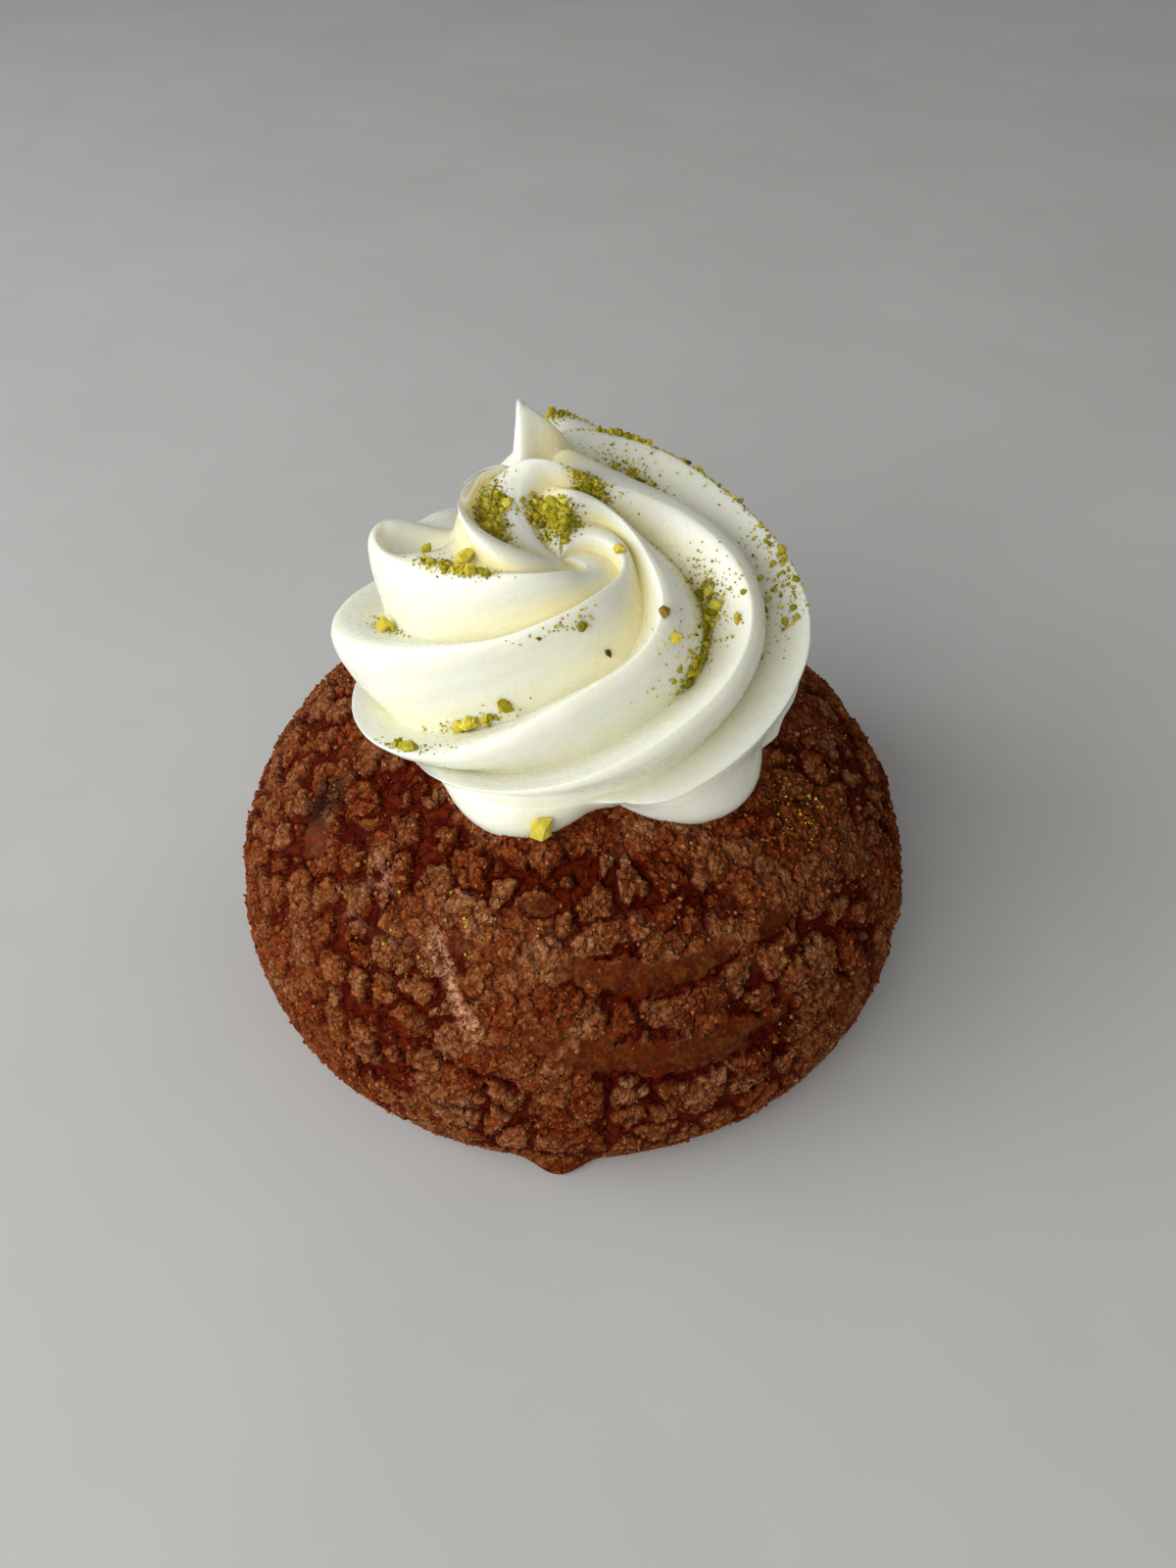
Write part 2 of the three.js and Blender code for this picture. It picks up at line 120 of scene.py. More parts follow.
# Pale streak of sugar, from one azimuth and height to another, then the tan glaze with a painted highlight on
# it, and the scorched spot.
# Distances round the crust are taken at this share of the bun's radius.
AROUND_SHARE = 0.75
STREAK_FROM = (244.5, 29.2)
STREAK_TO = (256, 21.2)
STREAK_HALF_WIDTH = 0.95
TAN_SHEEN_SPOT = (228, 29.4)
TAN_SHEEN_REACH = 4.4
BURNT_SPOT = (204, 31.3)
BURNT_REACH = 3.6

# Loose crumbs and sugar grains on the crust.
CRUMBS = 5600
CRUMB_RADIUS = (0.14, 0.38)
SUGAR_GRAINS = 160
SUGAR_RADIUS = (0.1, 0.17)
CRUMB_SEED = 11
SUGAR_SEED = 12
CRUMBS_FROM_Z = 1.2
CRUMBS_FROM_RADIUS = 19

# Swirl: radius and height towards the right, back, left and front, at levels from foot to eye.
SWIRL_CENTRE = (-1, 1)
SWIRL_RADIUS = [
    [27.0, 28.5, 22.5, 24.2],
    [27.9, 28.0, 26.8, 21.2],
    [21.5, 21.3, 19.6, 13.4],
    [10.2, 8.8, 10.8, 7.8],
    [6.3, 4.8, 9.9, 4.1],
    [0, 0, 0, 0],
]
SWIRL_HEIGHT = [
    [36.2, 39.4, 36.8, 39.8],
    [45.7, 45.6, 41.3, 43.0],
    [50.6, 58.3, 54.0, 49.4],
    [54.2, 61.2, 59.6, 55.4],
    [55.2, 61.2, 60.8, 56.4],
    [54, 54, 54, 54],
]
SWIRL_SINK = 0.7

# Ridges left by the nozzle's teeth: azimuth at the foot, and turn on the way to the eye, in degrees.
RIDGE_START = [50, 98, 170, 223, 289, 342]
RIDGE_TURN = [314, 325, 303, 321, 328, 316]
RIDGES = len(RIDGE_START)
MERGE_LEVEL = 0.34
MERGE_SPAN = 0.11
MERGE_OFFSET = 4

# Grooves between the ridges: depth at each level, and the wall's share of the pitch by direction.
GROOVE_DEPTH = [1.6, 5.3, 5.2, 2.4, 1.8, 0.2]
GROOVE_PITCH = 50
GROOVE_WIDEN = 1.2
WALL_SHARE = [0.84, 0.74, 0.54, 0.81]
LEAN_FOOT = 10
LEAN_EYE = 120

# Skirt below the foot, down to the bun: tucked in, with lobes that bulge between nips.
SKIRT = 0.07
SKIRT_TUCK = 0.8
LOBE_BULGE = 5.2
LOBE_NIP = 2.9
LOBE_NIP_AZIMUTH = 287
LOBE_FADE = 0.05

# Swells in the cream: the hump where the last ridge runs out behind the peak, the dip round the
# peak's foot, and the fall of the left collar's far rim. Then the cup inside that collar.
SWELLS = [
    dict(rise=2.6, azimuth=93, half_angle=10.5, level=0.41, span=0.046),
    dict(rise=-5.4, azimuth=116, half_angle=17, level=0.52, span=0.085),
    dict(rise=-2.6, azimuth=137, half_angle=11.3, level=0.345, span=0.13),
]
COLLAR_CUP = dict(rise=-4.2, azimuth=161, half_angle=16, level=0.45, span=0.065)
CUP_WALL_PHASE = 0.9

# Peak pulled up where the nozzle left the cream: steep on its left, with a long slope on its right
# that runs towards an azimuth.
PEAK_TIP = (-5.7, 14, 65.9)
PEAK_RIDGE = 4
PEAK_LEVEL = 0.57
PEAK_AZIMUTH = 19
PEAK_REACH_LEFT = 0.6
PEAK_REACH_RIGHT = 7
PEAK_REACH_ACROSS = 1.7
PEAK_TURNOVER = 0.4
PEAK_POWER = 1.3

# Mesh of the swirl, and the faint drag lines and lumps in its skin.
STEPS_PER_RIDGE = 78
CREST_BUNCHING = 0.5
STEPS_UP = 176
SKIRT_STEPS = 12
DRAG_LINES = 0.07
SKIN_LUMPS = 0.1
LUMP_SIZE = 2.4

# Chopped pistachio: single chips by place and size, and clusters by place, spread, count and size.
CHIPS = [
    dict(ridge=3.64, level=-0.03, size=1.25, kind="yellow"),
    dict(ridge=5.72, level=0.575, size=1.15, kind="yellow"),
    dict(ridge=0.64, level=0.321, size=0.95, kind="yellow"),
    dict(ridge=2.0, level=0.521, size=0.66, kind="skin"),
    dict(ridge=1.57, level=0.333, size=0.85, kind="yellow"),
    dict(ridge=5.78, level=0.496, size=0.75, kind="green"),
    dict(ridge=2.2, level=0.468, size=0.65, kind="yellow"),
    dict(ridge=2.94, level=0.405, size=0.65, kind="yellow"),
    dict(ridge=1.24, level=0.523, size=0.5, kind="green"),
    dict(ridge=1.66, level=0.496, size=0.5, kind="skin"),
    dict(ridge=1.02, level=0.803, size=0.6, kind="yellow"),
]
CLUSTERS = [
    dict(ridge=5.17, level=0.437, across=0.06, along=0.02, count=50, size=0.26),
    dict(ridge=4.05, level=0.425, across=0.03, along=0.02, count=60, size=0.26),
    dict(ridge=4.12, level=0.37, across=0.02, along=0.012, count=34, size=0.3),
    dict(ridge=3.84, level=0.435, across=0.025, along=0.014, count=120, size=0.26),
    dict(ridge=2.91, level=0.651, across=0.05, along=0.025, count=90, size=0.25),
    dict(ridge=2.2, level=0.9, across=0.4, along=0.025, count=380, size=0.25),
    dict(ridge=3.4, level=0.86, across=0.15, along=0.025, count=240, size=0.24),
    dict(ridge=5.9, level=0.535, across=0.03, along=0.035, count=100, size=0.26),
    dict(ridge=0.64, level=0.321, across=0.03, along=0.008, count=34, size=0.3),
    dict(ridge=1.62, level=0.283, across=0.03, along=0.014, count=30, size=0.36),
    dict(ridge=1.9, level=0.2, across=0.025, along=0.008, count=24, size=0.38),
    dict(ridge=2.86, level=0.452, across=0.045, along=0.024, count=110, size=0.25),
    dict(ridge=2.78, level=0.403, across=0.05, along=0.022, count=120, size=0.27),
    dict(ridge=3.93, level=0.262, across=0.04, along=0.03, count=60, size=0.28),
    dict(ridge=1.15, level=0.5, across=0.08, along=0.035, count=12, size=0.24),
    dict(ridge=4.0, level=0.33, across=0.05, along=0.04, count=36, size=0.18),
    dict(ridge=2.5, level=0.45, across=0.3, along=0.06, count=30, size=0.2),
]
DUST_PER_CHIP = 3
DUST_RADIUS = (0.06, 0.15)
DUST_SPREAD = 1.8
KIND_SHARES = [0.42, 0.54, 0.04]
CHIP_SEED = 7

# Dust on the bun: azimuth, height, spread in degrees, spread in height, count, and size of a grain.
BUN_DUST = [
    dict(azimuth=329, z=31.5, spread=5, rise=1.6, count=48),
    dict(azimuth=250, z=31, spread=4, rise=1.2, count=20),
    dict(azimuth=243, z=26, spread=5, rise=2, count=16),
    dict(azimuth=230, z=29, spread=5, rise=2, count=12),
]
BUN_DUST_RADIUS = (0.07, 0.2)

# Camera: where the photo was taken from, in degrees up from straight down, and its lens.
CAMERA_PLACE = (1.9, -114.0, 131.6)
CAMERA_TILT = 46
LENS = 29.25


def smooth(low, high, value):
    """0 on the low side and 1 on the high side, eased. The low limit may be the larger one."""
    t = np.clip((value - low) / (high - low), 0, 1)
    return t * t * (3 - 2 * t)


def cell_number(cells, salt):
    """A number from 0 to 1 that belongs to a cell of space."""
    wave = np.sin(cells @ np.array([127.1, 311.7, 74.7]) + salt * 53.3) * 43758.5453
    return wave - np.floor(wave)


def value_noise(points, size, salt):
    """Smooth noise from 0 to 1 whose lumps are about this size."""
    cells = points / size
    base = np.floor(cells)
    t = cells - base
    t = t * t * (3 - 2 * t)
    total = np.zeros(len(points))
    for corner in itertools.product((0, 1), repeat=3):
        weight = np.prod(np.where(corner, t, 1 - t), axis=1)
        total += weight * cell_number(base + corner, salt)
    return total


def plates(points, size, salt):
    """Nearest plate: distance to its edge and middle in plate sizes, its number and its middle."""
    cells = points / size
    base = np.floor(cells)
    nearest = np.full(len(points), 9.0)
    second = nearest.copy()
    number = np.zeros(len(points))
    middle = np.zeros_like(points)
    for offset in itertools.product((-1, 0, 1), repeat=3):
        corner = base + offset
        draws = [cell_number(corner, salt + axis) for axis in range(3)]
        seed = corner + np.stack(draws, axis=1)
        distance = np.linalg.norm(seed - cells, axis=1)
        nearer = distance < nearest
        second = np.where(nearer, nearest, np.minimum(second, distance))
        nearest = np.where(nearer, distance, nearest)
        number = np.where(nearer, cell_number(corner, salt + 3), number)
        middle[nearer] = seed[nearer] * size
    return second - nearest, nearest, number, middle


def angle_between(a, b):
    return np.abs((a - b + 180) % 360 - 180)


def dome_height(radius):
    share = np.minimum(radius / BUN_RADIUS, 1)
    rise = (1 - share ** DOME_POWER) ** (1 / DOME_POWER)
    return BUN_WIDEST_Z + (BUN_HEIGHT - BUN_WIDEST_Z) * rise


# ---- bun ----

def bun_profile():
    """Radius, height and outward normal of the bun's outline, from the top down to the base."""
    turn = np.linspace(math.pi / 2, 0, 1500)
    dome = np.stack([
        BUN_RADIUS * np.cos(turn) ** (2 / DOME_POWER),
        BUN_WIDEST_Z + (BUN_HEIGHT - BUN_WIDEST_Z) * np.sin(turn) ** (2 / DOME_POWER),
    ], axis=1)
    turn = np.linspace(0, math.pi / 2, 600)[1:]
    flank = np.stack([
        BASE_RADIUS + (BUN_RADIUS - BASE_RADIUS) * np.cos(turn) ** (2 / FLANK_POWER),
        BUN_WIDEST_Z * (1 - np.sin(turn) ** (2 / FLANK_POWER)),
    ], axis=1)
    line = np.concatenate([dome, flank])
    run = np.concatenate([[0], np.cumsum(np.linalg.norm(np.diff(line, axis=0), axis=1))])
    start = np.interp(HIDDEN_RADIUS, line[:1500, 0], run[:1500])
    hidden = np.linspace(0, start, HIDDEN_ROWS + 1)[1:-1]
    stops = np.concatenate([hidden, np.linspace(start, run[-1], CRUST_ROWS)])
    radius = np.interp(stops, run, line[:, 0])
    height = np.interp(stops, run, line[:, 1])
    slope_r = np.gradient(radius, stops)
    slope_z = np.gradient(height, stops)
    length = np.hypot(slope_r, slope_z)
    return radius, height, -slope_z / length, slope_r / length


def band_distance(azimuth, z, band, wobble):
    """How far a place is from the middle of a band: 1 at its edge."""
    along = ((azimuth - band["azimuth"] + 180) % 360 - 180) / band["half_arc"]
    middle = band["z"] + band["rise"] * along ** 2 + band["tilt"] * along + wobble
    return np.hypot(along, (z - middle) / band["half_width"])


def spot_nearness(azimuth, z, spot, reach):
    aside = np.radians(angle_between(azimuth, spot[0])) * BUN_RADIUS * AROUND_SHARE
    return smooth(1, 0.3, np.hypot(aside, z - spot[1]) / reach)


def streak_nearness(azimuth, z, wobble):
    across = np.radians(STREAK_TO[0] - STREAK_FROM[0]) * BUN_RADIUS * AROUND_SHARE
    down = STREAK_TO[1] - STREAK_FROM[1]
    aside = np.radians((azimuth - STREAK_FROM[0] + 180) % 360 - 180) * BUN_RADIUS * AROUND_SHARE
    length = math.hypot(across, down)
    along = (aside * across + (z - STREAK_FROM[1]) * down) / length ** 2
    off = np.abs(aside * down - (z - STREAK_FROM[1]) * across) / length + wobble
    ends = smooth(-0.08, 0.08, along) * smooth(1.08, 0.92, along)
    return smooth(1, 0.5, off / STREAK_HALF_WIDTH) * ends


def crust_plates(points, calm):
    """Height of plates, flakes and grains, the number of each flake, and what the colours need."""
    shifts = [value_noise(points, RAGGED_SIZE, 60 + axis) - 0.5 for axis in range(3)]
    ragged = points + RAGGED_REACH * np.stack(shifts, axis=1)
    edge, _, number, middle = plates(ragged, PLATE_SIZE, 1)
    flake_edge, _, flake_number, _ = plates(ragged, FLAKE_SIZE, 11)
    _, grain_near, grain_number, _ = plates(points, GRAIN_SIZE, 21)
    apart = smooth(0.3, 0.7, value_noise(points, PATCH_SIZE, 31))
    gap = GAP_SHARE[0] + (GAP_SHARE[1] - GAP_SHARE[0]) * apart
    crevice = 1 - smooth(gap, gap + GAP_EDGE, edge)
    flake_gap = 1 - smooth(*FLAKE_GAP_SHARE, flake_edge)
    lean = np.stack([cell_number(middle, 41 + axis) - 0.5 for axis in range(3)], axis=1)
    tilt = PLATE_TILT * np.sum((ragged - middle) * 2 * lean, axis=1)
    patchy = 0.5 + value_noise(points, GRAIN_PATCH_SIZE, 26)
    grain = GRAIN_HEIGHT * (0.5 - grain_near) * patchy * calm
    top = (tilt - PLATE_STEP * number - FLAKE_DEPTH * flake_gap) * calm + grain
    height = top * (1 - crevice) - CREVICE_DEPTH * (0.45 + 0.55 * apart) * crevice * calm
    # The crevice and flake gap shares are also painted dark in colour, as shade.
    tones = dict(
        crevice=crevice * (0.4 + 0.6 * apart),
        plate_tone=number,
        flake_tone=0.5 * flake_number + 0.5 * grain_number,
        open_gap=crevice * smooth(0.6, 1, apart) * smooth(0.7, 0.2, edge / gap),
        gap=flake_gap,
    )
    return height, flake_number, tones


def bald_bands(points, azimuth, z, flake_number, wobble):
    """From 0 to 1: how bald each point is, how far up its band, and how near the band's lower lip."""
    bald = np.zeros(len(points))
    upper = np.zeros(len(points))
    lip = np.zeros(len(points))
    fray = BALD_RAGGED * (flake_number - 0.5) + FRAY * (value_noise(points, FRAY_SIZE, 56) - 0.5)
    for band in BALD_BANDS:
        off = band_distance(azimuth, z, band, 0.5 * wobble) + fray
        bare = smooth(1.08, 0.9, off)
        bald = np.maximum(bald, bare)
        upper = np.maximum(upper, bare * smooth(-0.6, 1, (z - band["z"]) / band["half_width"]))
        # Just under each band's lower edge lies its lip: it is dented, and its line is later painted dark as
        # shadow.
        below = smooth(0.3, -0.5, z - band["z"])
        lip = np.maximum(lip, smooth(0.72, 0.92, off) * smooth(1.3, 1.1, off) * below)
    return bald, upper, lip


def arc_cracks(points, azimuth, z, wobble):
    """From 0 to 1: how deep each point is in a long crack."""
    broken = smooth(0.25, 0.5, value_noise(points, ARC_BREAK_SIZE, 71))
    crack = np.zeros(len(points))
    for band in ARC_CRACKS:
        off = band_distance(azimuth, z, band, ARC_WOBBLE * wobble)
        crack = np.maximum(crack, smooth(1.2, 0.5, off) * broken)
    return crack


def bare_dough(points):
    """Height of the dough where no crust covers it, with folds that lie round the bun."""
    folds = FOLD_HEIGHT * (value_noise(points * np.array([1, 1, 3]), FOLD_SIZE, 81) - 0.5)
    return -BALD_DEPTH + folds + PIMPLE_HEIGHT * (value_noise(points, PIMPLE_SIZE, 82) - 0.5)


def crust_relief(points):
    """Height of the crust above the smooth dome, and what its colours need, at each point."""
    azimuth = np.degrees(np.arctan2(points[:, 1], points[:, 0])) % 360
    z = points[:, 2]
    calm = 1 - CALM_SHARE * smooth(*CALM_Z, z)
    wobble = value_noise(points, WOBBLE_SIZE, 51) - 0.5
    plate_height, flake_number, tones = crust_plates(points, calm)
    bald, upper, lip = bald_bands(points, azimuth, z, flake_number, wobble)
    crack = arc_cracks(points, azimuth, z, wobble)
    height = (plate_height - ARC_DEPTH * crack) * (1 - bald) + bare_dough(points) * bald - LIP_DEPTH * lip
    near_base = smooth(*FADE_AT_BASE, z)
    height = np.minimum(height, CRUST_RISE) * near_base
    # Painted shade: crevices, long cracks and the line under each bald band's lower lip darken in colour, on
    # top of their modelled depth.
    dark = np.maximum.reduce([tones["crevice"], crack, lip]) * (1 - bald * (1 - lip))
    marks = dict(
        crevice=np.clip(dark, 0, 1) * near_base,
        bald=bald,
        upper=upper,
        plate_tone=tones["plate_tone"],
        flake_tone=tones["flake_tone"],
        open_gap=tones["open_gap"],
        gap=tones["gap"] * (1 - bald),
        streak=streak_nearness(azimuth, z, 0.8 * wobble),
        # Tan glaze with a painted highlight on it.
        tan=spot_nearness(azimuth, z, TAN_SHEEN_SPOT, TAN_SHEEN_REACH) * smooth(0.45, 0.65, value_noise(points, 1.1, 91)),
        burnt=spot_nearness(azimuth, z, BURNT_SPOT, BURNT_REACH),
        rim=smooth(*RIM_Z, z),
    )
    return height, marks


def bun_skin():
    """Rows of points over the bun, their normals, and the crust's marks."""
    radius, height, normal_r, normal_z = bun_profile()
    azimuth = np.arange(CRUST_COLUMNS) / CRUST_COLUMNS * 2 * math.pi
    off_spur = angle_between(np.degrees(azimuth), SPUR_AZIMUTH) / SPUR_HALF_ANGLE
    spur = SPUR_REACH * np.exp(-off_spur ** 2)[None, :] * smooth(SPUR_HEIGHT, 0, height)[:, None]
    reach = radius[:, None] + spur
    shape = reach.shape
    points = np.stack([
        reach * np.cos(azimuth),
        reach * np.sin(azimuth),
        np.broadcast_to(height[:, None], shape),
    ], axis=2).reshape(-1, 3)
    normals = np.stack([
        normal_r[:, None] * np.cos(azimuth),
        normal_r[:, None] * np.sin(azimuth),
        np.broadcast_to(normal_z[:, None], shape),
    ], axis=2).reshape(-1, 3)
    relief, marks = crust_relief(points)
    return points + normals * relief[:, None], normals, marks


def ring_faces(rows, columns, start=0):
    """Quads between rows of points that each run once round, with the lower row first."""
    row, column = np.meshgrid(np.arange(rows - 1), np.arange(columns), indexing="ij")
    after = (column + 1) % columns
    quads = np.stack([
        row * columns + column,
        row * columns + after,
        (row + 1) * columns + after,
        (row + 1) * columns + column,
    ], axis=2)
    return quads.reshape(-1, 4) + start


def fan_faces(middle, start, columns, reverse):
    step = np.arange(columns)
    after = (step + 1) % columns
    pair = [start + after, start + step] if reverse else [start + step, start + after]
    return np.stack([np.full(columns, middle), *pair], axis=1)


def make_piece(name, points, faces, marks, material):
    """A mesh piece from points in millimetres, with one number per point for each mark."""
    mesh = bpy.data.meshes.new(name)
    mesh.from_pydata((np.asarray(points) * MM).tolist(), [], faces)
    for key, values in marks.items():
        attribute = mesh.attributes.new(key, "FLOAT", "POINT")
        attribute.data.foreach_set("value", np.asarray(values, dtype=np.float32))
    mesh.polygons.foreach_set("use_smooth", np.ones(len(mesh.polygons), dtype=bool))
    mesh.materials.append(material)
    mesh.update()
    piece = bpy.data.objects.new(name, mesh)
    bpy.context.collection.objects.link(piece)
    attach(piece, "root")
    return piece


def make_bun(skin, marks, material):
    rim = skin[-CRUST_COLUMNS:] * np.array([1, 1, 0])
    rings = [rim * (1 - ring / BASE_RINGS) for ring in range(1, BASE_RINGS)]
    points = np.concatenate([[[0, 0, BUN_HEIGHT]], skin[:-CRUST_COLUMNS], rim, *rings, [[0, 0, 0]]])
    rows = len(skin) // CRUST_COLUMNS + len(rings)
    last = 1 + (rows - 1) * CRUST_COLUMNS
    faces = ring_faces(rows, CRUST_COLUMNS, 1)[:, ::-1].tolist()
    faces += fan_faces(0, 1, CRUST_COLUMNS, False).tolist()
    faces += fan_faces(len(points) - 1, last, CRUST_COLUMNS, True).tolist()
    base_points = len(points) - 1 - len(skin)
    padded = {key: np.concatenate([[0], values, np.zeros(base_points)]) for key, values in marks.items()}
    return make_piece("bun", points, faces, padded, material)


# ---- small lumps: crumbs, sugar and nut ----

def lump_shape():
    """Corners and faces of an icosahedron of radius 1."""
    golden = (1 + 5 ** 0.5) / 2
    corners = []
    for a, b in itertools.product((-1, 1), repeat=2):
        corners += [(0, a, b * golden), (a, b * golden, 0), (b * golden, 0, a)]
    corners = np.array(corners) / math.hypot(1, golden)
    edge = 2 / math.hypot(1, golden)
    faces = []
    for trio in itertools.combinations(range(12), 3):
        a, b, c = corners[list(trio)]
        sides = [np.linalg.norm(a - b), np.linalg.norm(b - c), np.linalg.norm(c - a)]
        if max(sides) < edge * 1.01:
            outward = np.dot(np.cross(b - a, c - a), a + b + c) > 0
            faces.append(trio if outward else trio[::-1])
    return corners, np.array(faces)


def random_turns(draw, count):
    """Random rotations, one matrix each."""
    quaternion = draw.normal(size=(count, 4))
    w, x, y, z = (quaternion / np.linalg.norm(quaternion, axis=1, keepdims=True)).T
    return np.stack([
        1 - 2 * (y * y + z * z), 2 * (x * y - z * w), 2 * (x * z + y * w),
        2 * (x * y + z * w), 1 - 2 * (x * x + z * z), 2 * (y * z - x * w),
        2 * (x * z - y * w), 2 * (y * z + x * w), 1 - 2 * (x * x + y * y),
    ], axis=1).reshape(-1, 3, 3)


def make_lumps(name, seats, normals, radii, uneven, sunk, draw, material):
    """One piece of uneven lumps, each partly sunk in the surface it lies on."""
    corners, faces = lump_shape()
    count = len(seats)
    stretch = 1 + uneven * draw.uniform(-1, 1, size=(count, 1, 3))
    jitter = 1 + uneven * draw.uniform(-1, 1, size=(count, 12, 1))
    shapes = corners[None] * jitter * stretch * radii[:, None, None]
    shapes = np.einsum("nij,nkj->nki", random_turns(draw, count), shapes)
    centres = seats + normals * (radii * (1 - 2 * sunk))[:, None]
    points = (shapes + centres[:, None]).reshape(-1, 3)
    all_faces = (faces[None] + 12 * np.arange(count)[:, None, None]).reshape(-1, 3)
    tones = np.repeat(draw.uniform(size=count), 12)
    piece = make_piece(name, points, all_faces.tolist(), dict(tone=tones), material)
    piece.data.polygons.foreach_set("use_smooth", np.zeros(len(piece.data.polygons), dtype=bool))
    return piece


def scatter_on_crust(skin, normals, marks, count, seed):
    """Seats for loose grains: more on the plates than in crevices, and few on bald dough."""
    draw = np.random.default_rng(seed)
    z = skin[:, 2]
    radius = np.hypot(skin[:, 0], skin[:, 1])
    weight = (1 - 0.85 * marks["crevice"]) * (1 - 0.93 * marks["bald"])
    weight = weight * (z > CRUMBS_FROM_Z) * (radius > CRUMBS_FROM_RADIUS) * radius
    chosen = draw.choice(len(skin), size=count, replace=False, p=weight / weight.sum())
    return skin[chosen], normals[chosen], draw


# ---- swirl ----

def at_level(values, level):
    """Smooth curve through values that are spread evenly from level 0 to level 1."""
    values = np.asarray(values, dtype=float)
    last = len(values) - 1
    place = np.clip(level, 0, 1) * last
    index = np.minimum(np.floor(place).astype(int), last - 1)
    t = place - index
    before = np.maximum(np.arange(last + 1) - 1, 0)
    after = np.minimum(np.arange(last + 1) + 1, last)
    slope = (values[after] - values[before]) / (after - before)
    return ((2 * t ** 3 - 3 * t ** 2 + 1) * values[index] + (t ** 3 - 2 * t ** 2 + t) * slope[index]
            + (3 * t ** 2 - 2 * t ** 3) * values[index + 1] + (t ** 3 - t ** 2) * slope[index + 1])


def by_direction(sides, azimuth):
    right, back, left, front = sides
    mean = (right + back + left + front) / 4
    oval = (right + left - back - front) / 4
    return (mean + (right - left) / 2 * np.cos(azimuth) + (back - front) / 2 * np.sin(azimuth)
            + oval * np.cos(2 * azimuth))


def envelope(rows, level, azimuth):
    return by_direction([at_level(column, level) for column in zip(*rows)], azimuth)


def ridge_azimuth(ridge, level):
    """Azimuth of a ridge at a level, in degrees. The last one runs into the ridge before it."""
    index = ridge % RIDGES
    turns = ridge // RIDGES
    free = np.array(RIDGE_START)[index] + np.array(RIDGE_TURN)[index] * level
    neighbour = RIDGE_START[-2] + RIDGE_TURN[-2] * level + MERGE_OFFSET
    merged = smooth(MERGE_LEVEL - MERGE_SPAN, MERGE_LEVEL + MERGE_SPAN, level) * (index == RIDGES - 1)
    return free * (1 - merged) + neighbour * merged + 360 * turns


def groove_shape(phase, wall_share):
    """Groove between two crests: 0 on a crest, 1 at the foot of the wall."""
    down = np.clip(phase / wall_share, 0, 1)
    up = np.clip((phase - wall_share) / (1 - wall_share), 0, 1)
    wall = 0.25 * (1 - np.cos(math.pi * down)) + 0.5 * (1 - np.cos(math.pi / 2 * down))
    back = 0.25 * (1 + np.cos(math.pi * up)) + 0.5 * (1 - np.sin(math.pi / 2 * up))
    return np.where(phase < wall_share, wall, back)


def swell(spot, degrees, level):
    aside = angle_between(degrees, spot["azimuth"]) / spot["half_angle"]
    return spot["rise"] * np.exp(-((level - spot["level"]) / spot["span"]) ** 2 - aside ** 2)


def fold_points(place, level):
    """Points of the swirl without its peak, and how deep each lies in its groove, from 0 to 1."""
    ridge = np.floor(place).astype(int) % RIDGES
    phase = place - np.floor(place)
    height = np.maximum(level, 0)
    start = ridge_azimuth(ridge, height)
    pitch = ridge_azimuth(ridge + 1, height) - start
    degrees = start + pitch * phase
    azimuth = np.radians(degrees)
    groove = groove_shape(phase, by_direction(WALL_SHARE, azimuth))
    widen = np.minimum(pitch / GROOVE_PITCH, GROOVE_WIDEN)
    depth = at_level(GROOVE_DEPTH, height) * widen * groove
    lean = np.radians(LEAN_FOOT + (LEAN_EYE - LEAN_FOOT) * height)
    down = np.maximum(-level / SKIRT, 0)
    wave = np.abs(np.sin(np.radians(RIDGES / 2 * (degrees - LOBE_NIP_AZIMUTH))))
    lobe = (LOBE_BULGE * wave - LOBE_NIP) * smooth(LOBE_FADE, -LOBE_FADE, level)
    in_collar = smooth(1, CUP_WALL_PHASE, phase) * (ridge == RIDGES - 1)
    swells = sum(swell(spot, degrees, height) for spot in SWELLS)
    swells = swells + swell(COLLAR_CUP, degrees, height) * in_collar
    radius = envelope(SWIRL_RADIUS, height, azimuth) - depth * np.cos(lean) + lobe - SKIRT_TUCK * down ** 2
    z = envelope(SWIRL_HEIGHT, height, azimuth) - depth * np.sin(lean) + swells
    x = SWIRL_CENTRE[0] + radius * np.cos(azimuth)
    y = SWIRL_CENTRE[1] + radius * np.sin(azimuth)
    floor = dome_height(np.hypot(x, y)) - SWIRL_SINK
    z = np.maximum(z * (1 - down) + floor * down, floor)
    return np.stack([x, y, z], axis=-1), groove * np.minimum(widen, 1)


def swirl_points(place, level):
    points, groove = fold_points(place, level)
    root = fold_points(np.array([float(PEAK_RIDGE)]), np.array([PEAK_LEVEL]))[0][0]
    offset = points - root
    slope = np.array([math.cos(math.radians(PEAK_AZIMUTH)), math.sin(math.radians(PEAK_AZIMUTH)), 0])
    along = offset @ slope
    across = np.linalg.norm(offset - along[..., None] * slope, axis=-1)
    turnover = smooth(-PEAK_TURNOVER, PEAK_TURNOVER, along)
    reach = PEAK_REACH_LEFT + (PEAK_REACH_RIGHT - PEAK_REACH_LEFT) * turnover
    pull = np.exp(-np.hypot(along / reach, across / PEAK_REACH_ACROSS) ** PEAK_POWER)
    return points + (np.array(PEAK_TIP) - root) * pull[..., None], groove


def swirl_normals(place, level):
    """Outward normals of the swirl, from two small steps on its surface."""
    step = 0.002
    along = swirl_points(place + step, level)[0] - swirl_points(place - step, level)[0]
    up = swirl_points(place, level + step)[0] - swirl_points(place, level - step)[0]
    normal = np.cross(along, up)
    return normal / np.maximum(np.linalg.norm(normal, axis=-1, keepdims=True), 1e-9)


